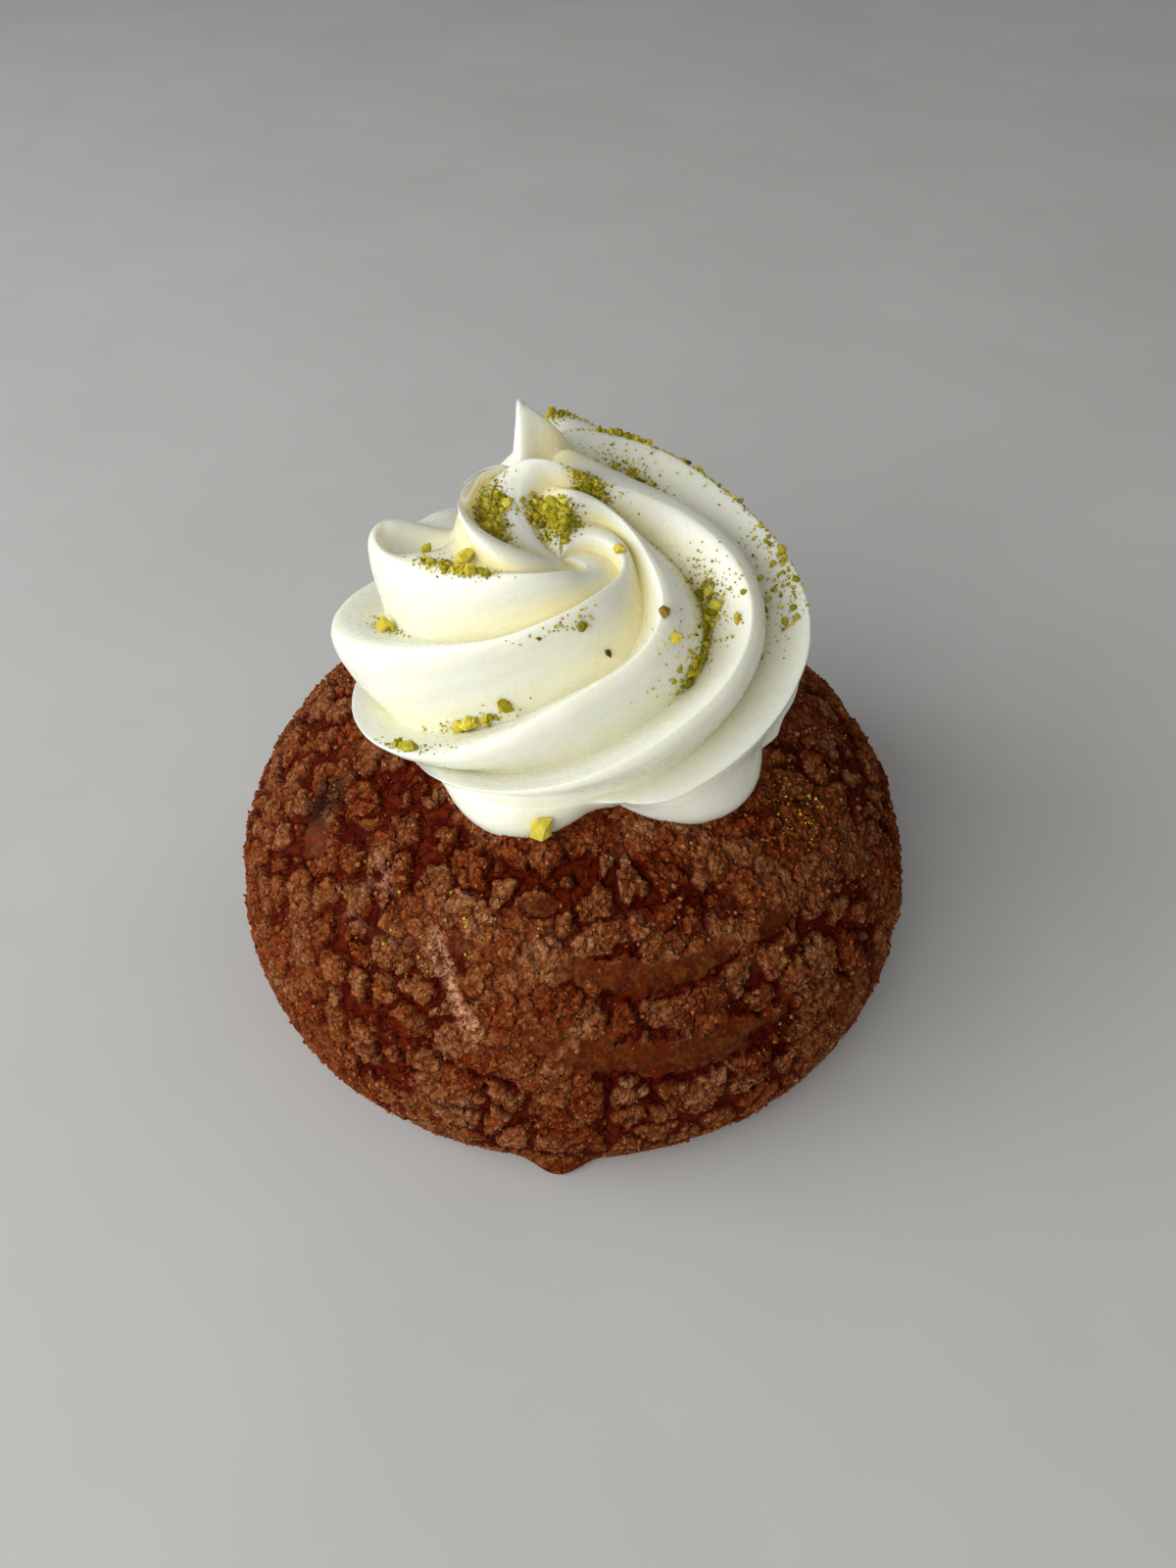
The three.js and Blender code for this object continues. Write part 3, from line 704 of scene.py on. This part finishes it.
def swirl_levels():
    """Levels from the bun to just below the eye, with one of them on the peak."""
    peak_step = round(PEAK_LEVEL * STEPS_UP)
    below = np.linspace(-SKIRT, 0, SKIRT_STEPS + 1)[:-1]
    lower = np.linspace(0, PEAK_LEVEL, peak_step + 1)
    upper = np.linspace(PEAK_LEVEL, 1, STEPS_UP - peak_step + 1)[1:-1]
    return np.concatenate([below, lower, upper])


def make_cream(material):
    even = np.arange(RIDGES * STEPS_PER_RIDGE) / STEPS_PER_RIDGE
    places = even - CREST_BUNCHING / (2 * math.pi) * np.sin(2 * math.pi * even)
    levels = swirl_levels()
    level, place = np.meshgrid(levels, places, indexing="ij")
    level, place = level.ravel(), place.ravel()
    points, groove = swirl_points(place, level)
    normals = swirl_normals(place, level)
    strip = np.stack([place * 13 % (13 * RIDGES), level * 3, np.zeros_like(level)], axis=1)
    calm = smooth(0.97, 0.9, level) * smooth(-0.06, 0, level)
    calm = calm * smooth(0.5, 3, np.linalg.norm(points - np.array(PEAK_TIP), axis=1))
    skin = DRAG_LINES * (value_noise(strip, 1, 101) - 0.5)
    skin = skin + SKIN_LUMPS * (value_noise(points, LUMP_SIZE, 102) - 0.5)
    points = points + normals * (skin * calm)[:, None]
    eye = swirl_points(np.array([0.0]), np.array([1.0]))[0]
    middle = [[*SWIRL_CENTRE, dome_height(math.hypot(*SWIRL_CENTRE)) - SWIRL_SINK]]
    around = len(places)
    rows = len(levels)
    faces = ring_faces(rows, around).tolist()
    faces += fan_faces(rows * around, (rows - 1) * around, around, False).tolist()
    faces += fan_faces(rows * around + 1, 0, around, True).tolist()
    all_points = np.concatenate([points, eye, middle])
    marks = dict(groove=np.concatenate([groove, [0, 0]]), level=np.concatenate([level, [1, 0]]))
    return make_piece("cream", all_points, faces, marks, material)


def pistachio_seats(draw):
    """Place, level, size and kind of every piece of nut on the cream."""
    rows = [(chip["ridge"], chip["level"], chip["size"], chip["kind"]) for chip in CHIPS]
    for cluster in CLUSTERS:
        for _ in range(cluster["count"]):
            ridge = cluster["ridge"] + cluster["across"] * draw.normal() * 0.7
            level = cluster["level"] + cluster["along"] * draw.normal() * 0.7
            size = cluster["size"] * draw.lognormal(-0.15, 0.42)
            kind = draw.choice(["green", "yellow", "skin"], p=KIND_SHARES)
            rows.append((ridge, level, size, kind))
    return rows


def dust_seats(rows, draw):
    """Fine dust round every piece of nut."""
    dust = []
    for ridge, level, size, kind in rows:
        for _ in range(DUST_PER_CHIP):
            radius = draw.uniform(*DUST_RADIUS)
            spread = DUST_SPREAD * draw.normal(size=2)
            pale = "yellow" if kind == "skin" else kind
            dust.append((ridge + 0.02 * spread[0], level + 0.01 * spread[1], radius, pale))
    return dust


def make_pistachio(skin, normals):
    draw = np.random.default_rng(CHIP_SEED)
    rows = pistachio_seats(draw)
    rows += dust_seats(rows, draw)
    azimuth = np.degrees(np.arctan2(skin[:, 1], skin[:, 0])) % 360
    for kind in NUT_COLOURS:
        chosen = [row[:3] for row in rows if row[3] == kind]
        ridge, level, size = np.array(chosen).T
        seats, _ = swirl_points(ridge, level)
        outward = swirl_normals(ridge, level)
        for dust in BUN_DUST:
            off = np.hypot(angle_between(azimuth, dust["azimuth"]) / dust["spread"],
                           (skin[:, 2] - dust["z"]) / dust["rise"])
            weight = np.exp(-off ** 2)
            share = 1 if kind == "skin" else 2
            picks = draw.choice(len(skin), size=dust["count"] * share // 4, p=weight / weight.sum())
            seats = np.concatenate([seats, skin[picks]])
            outward = np.concatenate([outward, normals[picks]])
            size = np.concatenate([size, draw.uniform(*BUN_DUST_RADIUS, size=len(picks))])
        material = nut_material(kind)
        piece = make_lumps("pistachio_" + kind, seats, outward, size, 0.34, 0.3, draw, material)


# ---- materials ----

class Nodes:
    """Short ways to add shader nodes and join them up."""

    def __init__(self, name):
        self.material = bpy.data.materials.new(name)
        self.material.use_nodes = True
        self.tree = self.material.node_tree
        self.shader = self.tree.nodes["Principled BSDF"]
        self.place = self.add("ShaderNodeTexCoord").outputs["Object"]

    def add(self, kind, **settings):
        node = self.tree.nodes.new(kind)
        for key, value in settings.items():
            setattr(node, key, value)
        return node

    def join(self, source, socket):
        self.tree.links.new(source, socket)

    def mark(self, name):
        return self.add("ShaderNodeAttribute", attribute_name=name).outputs["Fac"]

    def feed(self, socket, value):
        if isinstance(value, (int, float)):
            socket.default_value = value
        elif isinstance(value, tuple):
            socket.default_value = (*value, 1)
        else:
            self.join(value, socket)

    def blend(self, amount, low, high, mode="MIX"):
        """Mix of two colours."""
        node = self.add("ShaderNodeMix", data_type="RGBA", blend_type=mode)
        self.feed(node.inputs["Factor"], amount)
        self.feed(node.inputs["A"], low)
        self.feed(node.inputs["B"], high)
        return node.outputs["Result"]

    def sum(self, operation, a, b):
        node = self.add("ShaderNodeMath", operation=operation)
        self.feed(node.inputs[0], a)
        self.feed(node.inputs[1], b)
        return node.outputs["Value"]

    def ramp(self, value, low, high, to_low=0.0, to_high=1.0):
        """Value carried from one range to another, and held at its ends."""
        node = self.add("ShaderNodeMapRange")
        self.feed(node.inputs["Value"], value)
        for key, number in zip(("From Min", "From Max", "To Min", "To Max"), (low, high, to_low, to_high)):
            node.inputs[key].default_value = number
        return node.outputs["Result"]

    def noise(self, size, detail=3.0, rough=0.6):
        node = self.add("ShaderNodeTexNoise")
        node.inputs["Scale"].default_value = 1 / (size * MM)
        node.inputs["Detail"].default_value = detail
        node.inputs["Roughness"].default_value = rough
        self.join(self.place, node.inputs["Vector"])
        return node.outputs["Fac"]

    def ragged_place(self, size, reach):
        """Object coordinates shaken by noise, which makes cell edges ragged."""
        noise = self.add("ShaderNodeTexNoise")
        noise.inputs["Scale"].default_value = 1 / (size * MM)
        self.join(self.place, noise.inputs["Vector"])
        shake = self.add("ShaderNodeVectorMath", operation="MULTIPLY_ADD")
        self.join(noise.outputs["Color"], shake.inputs[0])
        shake.inputs[1].default_value = (reach * MM, reach * MM, reach * MM)
        self.join(self.place, shake.inputs[2])
        return shake.outputs["Vector"]

    def cell_edge(self, size, place):
        """Distance to the nearest edge between cells of this size, in cell sizes."""
        node = self.add("ShaderNodeTexVoronoi", feature="DISTANCE_TO_EDGE")
        node.inputs["Scale"].default_value = 1 / (size * MM)
        self.join(place, node.inputs["Vector"])
        return node.outputs["Distance"]

    def bump(self, height, strength, depth, before=None):
        node = self.add("ShaderNodeBump")
        self.feed(node.inputs["Strength"], strength)
        node.inputs["Distance"].default_value = depth * MM
        self.join(height, node.inputs["Height"])
        if before is not None:
            self.join(before, node.inputs["Normal"])
        return node.outputs["Normal"]

    def set(self, socket, value):
        self.feed(self.shader.inputs[socket], value)


# Colours of crust and bare dough.
PLATE_DARK = (0.165, 0.018, 0.0010)
PLATE_MID = (0.258, 0.080, 0.0195)
PLATE_PALE = (0.415, 0.205, 0.100)
# Painted shade in crevices, cracks and the gaps between flakes, and also the dough's own dark flecks.
CREVICE_SHADE_AND_FLECK_RED = (0.058, 0.0022, 0.0001)
DOUGH_RED = (0.110, 0.012, 0.0008)
DOUGH_BROWN = (0.056, 0.009, 0.0007)
DOUGH_GOLD = (0.112, 0.028, 0.0024)
DOUGH_ORANGE = (0.115, 0.019, 0.0005)
# Pale sugar, and the painted highlight on the tan glaze.
SUGAR_PEACH_AND_SHEEN = (0.520, 0.250, 0.130)
SCORCHED = (0.016, 0.008, 0.005)
SUGAR_DARK = (0.22, 0.08, 0.03)
SUGAR_PALE = (0.42, 0.22, 0.11)
# Sizes of the cells whose edges show as fine bumped lines in the crust, painted dark as shade, in
# millimetres.
KNOB_LINES = 0.95
FLAKE_LINES = 2.3


def plate_colour(m, knob, flake):
    """Colour of the crust's plates, with dark lines of painted shade in the gaps between its flakes and
    knobs.
    """
    plate_tone = m.ramp(m.mark("plate_tone"), 0, 1, -0.12, 0.12)
    flake_tone = m.ramp(m.mark("flake_tone"), 0, 1, -0.12, 0.12)
    grain_tone = m.ramp(m.noise(0.55, 4), 0.2, 0.8, 0.22, 0.82)
    tone = m.sum("ADD", m.sum("ADD", plate_tone, flake_tone), grain_tone)
    colour = m.blend(m.ramp(tone, 0.3, 0.55), PLATE_DARK, PLATE_MID)
    colour = m.blend(m.ramp(tone, 0.55, 0.85), colour, PLATE_PALE)
    colour = m.blend(m.ramp(m.noise(6, 2), 0.5, 0.75, 0, 0.3), colour, DOUGH_BROWN)
    colour = m.blend(m.ramp(m.mark("rim"), 0, 1, 0, 0.5), colour, PLATE_MID)
    here_and_there = m.ramp(m.noise(2.5, 2), 0.42, 0.56, 0.15, 0.9)
    # Painted shade: dark lines in the gaps between flakes and knobs, and in the relief's flake gaps, where
    # crust covers the dough.
    flake_gap_shade = m.sum("MULTIPLY", m.ramp(flake, 0, 0.1, 1, 0), here_and_there)
    line = m.sum("MAXIMUM", m.ramp(knob, 0, 0.1, 0.35, 0), flake_gap_shade)
    line = m.sum("MAXIMUM", line, m.ramp(m.mark("gap"), 0, 1, 0, 0.6))
    covered = m.ramp(m.mark("bald"), 0, 0.6, 1, 0)
    return m.blend(m.sum("MULTIPLY", line, covered), colour, CREVICE_SHADE_AND_FLECK_RED)


def dough_colour(m):
    """Colour of the bare dough: golden and brown, more orange up in its bands, with dark flecks."""
    colour = m.blend(m.ramp(m.noise(2.4, 4), 0.41, 0.57), DOUGH_BROWN, DOUGH_GOLD)
    colour = m.blend(m.ramp(m.mark("upper"), 0.2, 1, 0, 0.7), colour, DOUGH_ORANGE)
    colour = m.blend(m.ramp(m.noise(1.0, 4, 0.7), 0.47, 0.56, 0, 0.6), colour, CREVICE_SHADE_AND_FLECK_RED)
    return m.blend(m.ramp(m.noise(0.6, 4, 0.7), 0.52, 0.6, 0, 0.08), colour, PLATE_PALE)


def with_sugar_sheen_and_scorch(m, colour):
    """The colour with the pale streak of sugar, the tan glaze with a painted highlight on it, and the
    scorched spot laid over it.
    """
    coarse = m.ramp(m.noise(1.1, 4, 0.7), 0.38, 0.54)
    patchy = m.sum("MULTIPLY", coarse, m.ramp(m.noise(0.4, 3), 0.25, 0.5))
    colour = m.blend(m.sum("MULTIPLY", m.mark("streak"), patchy), colour, SUGAR_PEACH_AND_SHEEN)
    # Painted highlight: the tan glaze spot is laid on in pale peach.
    colour = m.blend(m.sum("MULTIPLY", m.ramp(m.mark("tan"), 0, 1, 0, 0.7), patchy), colour, SUGAR_PEACH_AND_SHEEN)
    return m.blend(m.ramp(m.mark("burnt"), 0, 1, 0, 0.7), colour, SCORCHED)


def crust_material():
    m = Nodes("crust")
    bald = m.mark("bald")
    place = m.ragged_place(0.8, 0.9)
    knob = m.cell_edge(KNOB_LINES, place)
    flake = m.cell_edge(FLAKE_LINES, place)
    colour = m.blend(bald, plate_colour(m, knob, flake), dough_colour(m))
    # Painted shade: crevices, long cracks and lip lines go towards near-black red; the bottom of wide gaps
    # takes the dough's dark red.
    colour = m.blend(m.ramp(m.mark("crevice"), 0.15, 0.8), colour, CREVICE_SHADE_AND_FLECK_RED)
    colour = m.blend(m.mark("open_gap"), colour, DOUGH_RED)
    m.set("Base Color", with_sugar_sheen_and_scorch(m, colour))
    m.set("Roughness", m.ramp(bald, 0, 1, 0.8, 0.42))
    m.set("Specular IOR Level", 0.05)
    fine = m.bump(m.noise(0.28, 3, 0.7), 0.4, 0.15)
    knobs = m.bump(m.ramp(knob, 0, 0.3), m.ramp(bald, 0, 1, 0.75, 0.2), 0.3, fine)
    m.set("Normal", m.bump(m.ramp(flake, 0, 0.14), m.ramp(bald, 0, 0.6, 0.8, 0), 0.35, knobs))
    return m.material


def crumb_material():
    m = Nodes("crumb")
    tone = m.mark("tone")
    colour = m.blend(m.ramp(tone, 0, 0.6), PLATE_DARK, PLATE_MID)
    colour = m.blend(m.ramp(tone, 0.7, 1.4), colour, PLATE_PALE)
    m.set("Base Color", colour)
    m.set("Roughness", 0.8)
    m.set("Specular IOR Level", 0.08)
    m.set("Normal", m.bump(m.noise(0.2, 2), 0.5, 0.1))
    return m.material


def sugar_material():
    m = Nodes("sugar")
    m.set("Base Color", m.blend(m.mark("tone"), SUGAR_DARK, SUGAR_PALE))
    m.set("Roughness", 0.35)
    m.set("Specular IOR Level", 0.3)
    m.set("Normal", m.bump(m.noise(0.15, 2), 0.2, 0.05))
    return m.material


# Cream on its ridges, with painted shade in its grooves, yellower still in the hollows near its eye.
CREAM_WHITE = (0.825, 0.840, 0.735)
CREAM_SHADE = (0.815, 0.790, 0.580)
CREAM_HOLLOW_SHADE = (0.860, 0.790, 0.460)


def cream_material():
    m = Nodes("cream")
    # Painted shade: the grooves go darker and yellower, as light bounced inside them would make them.
    depth = m.ramp(m.mark("groove"), 0.45, 1, 0, 1)
    mottle = m.ramp(m.noise(3.5, 2), 0.4, 0.7, 0, 0.25)
    colour = m.blend(m.sum("MULTIPLY", depth, 0.8), CREAM_WHITE, CREAM_SHADE)
    colour = m.blend(mottle, colour, CREAM_SHADE)
    # Painted shade: deep grooves high up towards the eye, the cup among them, go yellower and darker.
    hollow_shade = m.sum("MULTIPLY", m.ramp(m.mark("level"), 0.38, 0.6), m.ramp(m.mark("groove"), 0.2, 0.8))
    colour = m.blend(hollow_shade, colour, CREAM_HOLLOW_SHADE)
    m.set("Base Color", colour)
    m.set("Roughness", m.ramp(m.noise(1.2, 3), 0.3, 0.7, 0.2, 0.4))
    m.set("Specular IOR Level", 0.42)
    m.set("Subsurface Weight", 0.5)
    m.shader.inputs["Subsurface Radius"].default_value = (1.0, 0.78, 0.45)
    m.set("Subsurface Scale", 2.2 * MM)
    fine = m.bump(m.noise(0.4, 3, 0.6), m.ramp(m.noise(5, 2), 0.48, 0.62, 0.12, 0.5), 0.14)
    m.set("Normal", m.bump(m.noise(1.6, 2), 0.16, 0.3, fine))
    return m.material


# Dark and pale colour of each kind of nut.
NUT_COLOURS = dict(
    green=((0.150, 0.140, 0.003), (0.440, 0.390, 0.020)),
    yellow=((0.340, 0.260, 0.006), (0.680, 0.580, 0.070)),
    skin=((0.050, 0.022, 0.004), (0.260, 0.170, 0.020)),
)


def nut_material(kind):
    dark, pale = NUT_COLOURS[kind]
    m = Nodes("nut_" + kind)
    tone = m.sum("ADD", m.mark("tone"), m.ramp(m.noise(0.5, 3), 0.3, 0.7, -0.35, 0.35))
    m.set("Base Color", m.blend(m.ramp(tone, 0, 1), dark, pale))
    m.set("Roughness", 0.6)
    m.set("Specular IOR Level", 0.15)
    m.set("Subsurface Weight", 0.15)
    m.set("Subsurface Scale", 0.4 * MM)
    m.set("Normal", m.bump(m.noise(0.3, 3), 0.6, 0.12))
    return m.material


FLOOR_DARK = (0.47, 0.47, 0.46)
FLOOR_PALE = (0.51, 0.51, 0.50)


def floor_material():
    m = Nodes("floor")
    m.set("Base Color", m.blend(m.ramp(m.noise(60, 3), 0.3, 0.7), FLOOR_DARK, FLOOR_PALE))
    m.set("Roughness", 0.75)
    return m.material


# ---- stage ----

FLOOR_HALF = 3000
WINDOW_PLACE = (-600, -70, 340)
WINDOW_SIZE = (480, 400)
WINDOW_POWER = 2.9
WINDOW_COLOUR = (0.97, 0.99, 1.0)
FILL_PLACE = (-330, -500, 350)
FILL_SIZE = (620, 420)
FILL_POWER = 3.35
FILL_COLOUR = (1.0, 0.99, 0.97)
LIGHT_AIM_DROP = 30
ROOM_COLOUR = (1.0, 0.99, 0.97, 1)
ROOM_STRENGTH = 0.32


def make_floor():
    half = FLOOR_HALF
    corners = [(-half, -half, 0), (half, -half, 0), (half, half, 0), (-half, half, 0)]
    mesh = bpy.data.meshes.new("floor")
    mesh.from_pydata((np.array(corners) * MM).tolist(), [], [(0, 1, 2, 3)])
    mesh.materials.append(floor_material())
    floor = bpy.data.objects.new("floor", mesh)
    bpy.context.collection.objects.link(floor)


def area_light(name, place, size, power, colour):
    data = bpy.data.lights.new(name, "AREA")
    data.shape = "RECTANGLE"
    data.size, data.size_y = size[0] * MM, size[1] * MM
    data.energy = power
    data.color = colour
    light = bpy.data.objects.new(name, data)
    bpy.context.collection.objects.link(light)
    light.location = [value * MM for value in place]
    aim = light.location.copy()
    aim.z -= LIGHT_AIM_DROP * MM
    light.rotation_euler = aim.to_track_quat("Z", "Y").to_euler()


def set_light():
    area_light("window", WINDOW_PLACE, WINDOW_SIZE, WINDOW_POWER, WINDOW_COLOUR)
    area_light("fill", FILL_PLACE, FILL_SIZE, FILL_POWER, FILL_COLOUR)
    world = bpy.data.worlds.new("room")
    world.use_nodes = True
    backdrop = world.node_tree.nodes["Background"]
    backdrop.inputs["Color"].default_value = ROOM_COLOUR
    backdrop.inputs["Strength"].default_value = ROOM_STRENGTH
    bpy.context.scene.world = world
    bpy.context.scene.view_settings.view_transform = "Standard"


def set_camera():
    data = bpy.data.cameras.new("camera")
    data.lens = LENS
    data.sensor_width = 36
    data.clip_start = 0.005
    camera = bpy.data.objects.new("camera", data)
    bpy.context.collection.objects.link(camera)
    camera.location = [value * MM for value in CAMERA_PLACE]
    camera.rotation_euler = (math.radians(CAMERA_TILT), 0, 0)
    bpy.context.scene.camera = camera


def main():
    skin, normals, marks = bun_skin()
    bun = make_bun(skin, marks, crust_material())
    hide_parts("crust_bun")

    seats, outward, draw = scatter_on_crust(skin, normals, marks, CRUMBS, CRUMB_SEED)
    radii = draw.uniform(*CRUMB_RADIUS, size=CRUMBS) * draw.uniform(0.6, 1, size=CRUMBS)
    crumbs = make_lumps("crumbs", seats, outward, radii, 0.3, 0.62, draw, crumb_material())

    seats, outward, draw = scatter_on_crust(skin, normals, marks, SUGAR_GRAINS, SUGAR_SEED)
    radii = draw.uniform(*SUGAR_RADIUS, size=SUGAR_GRAINS)
    sugar = make_lumps("sugar", seats, outward, radii, 0.2, 0.3, draw, sugar_material())

    cream = make_cream(cream_material())
    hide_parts("cream_swirl")

    make_pistachio(skin, normals)

    make_floor()
    set_light()
    set_camera()


main()
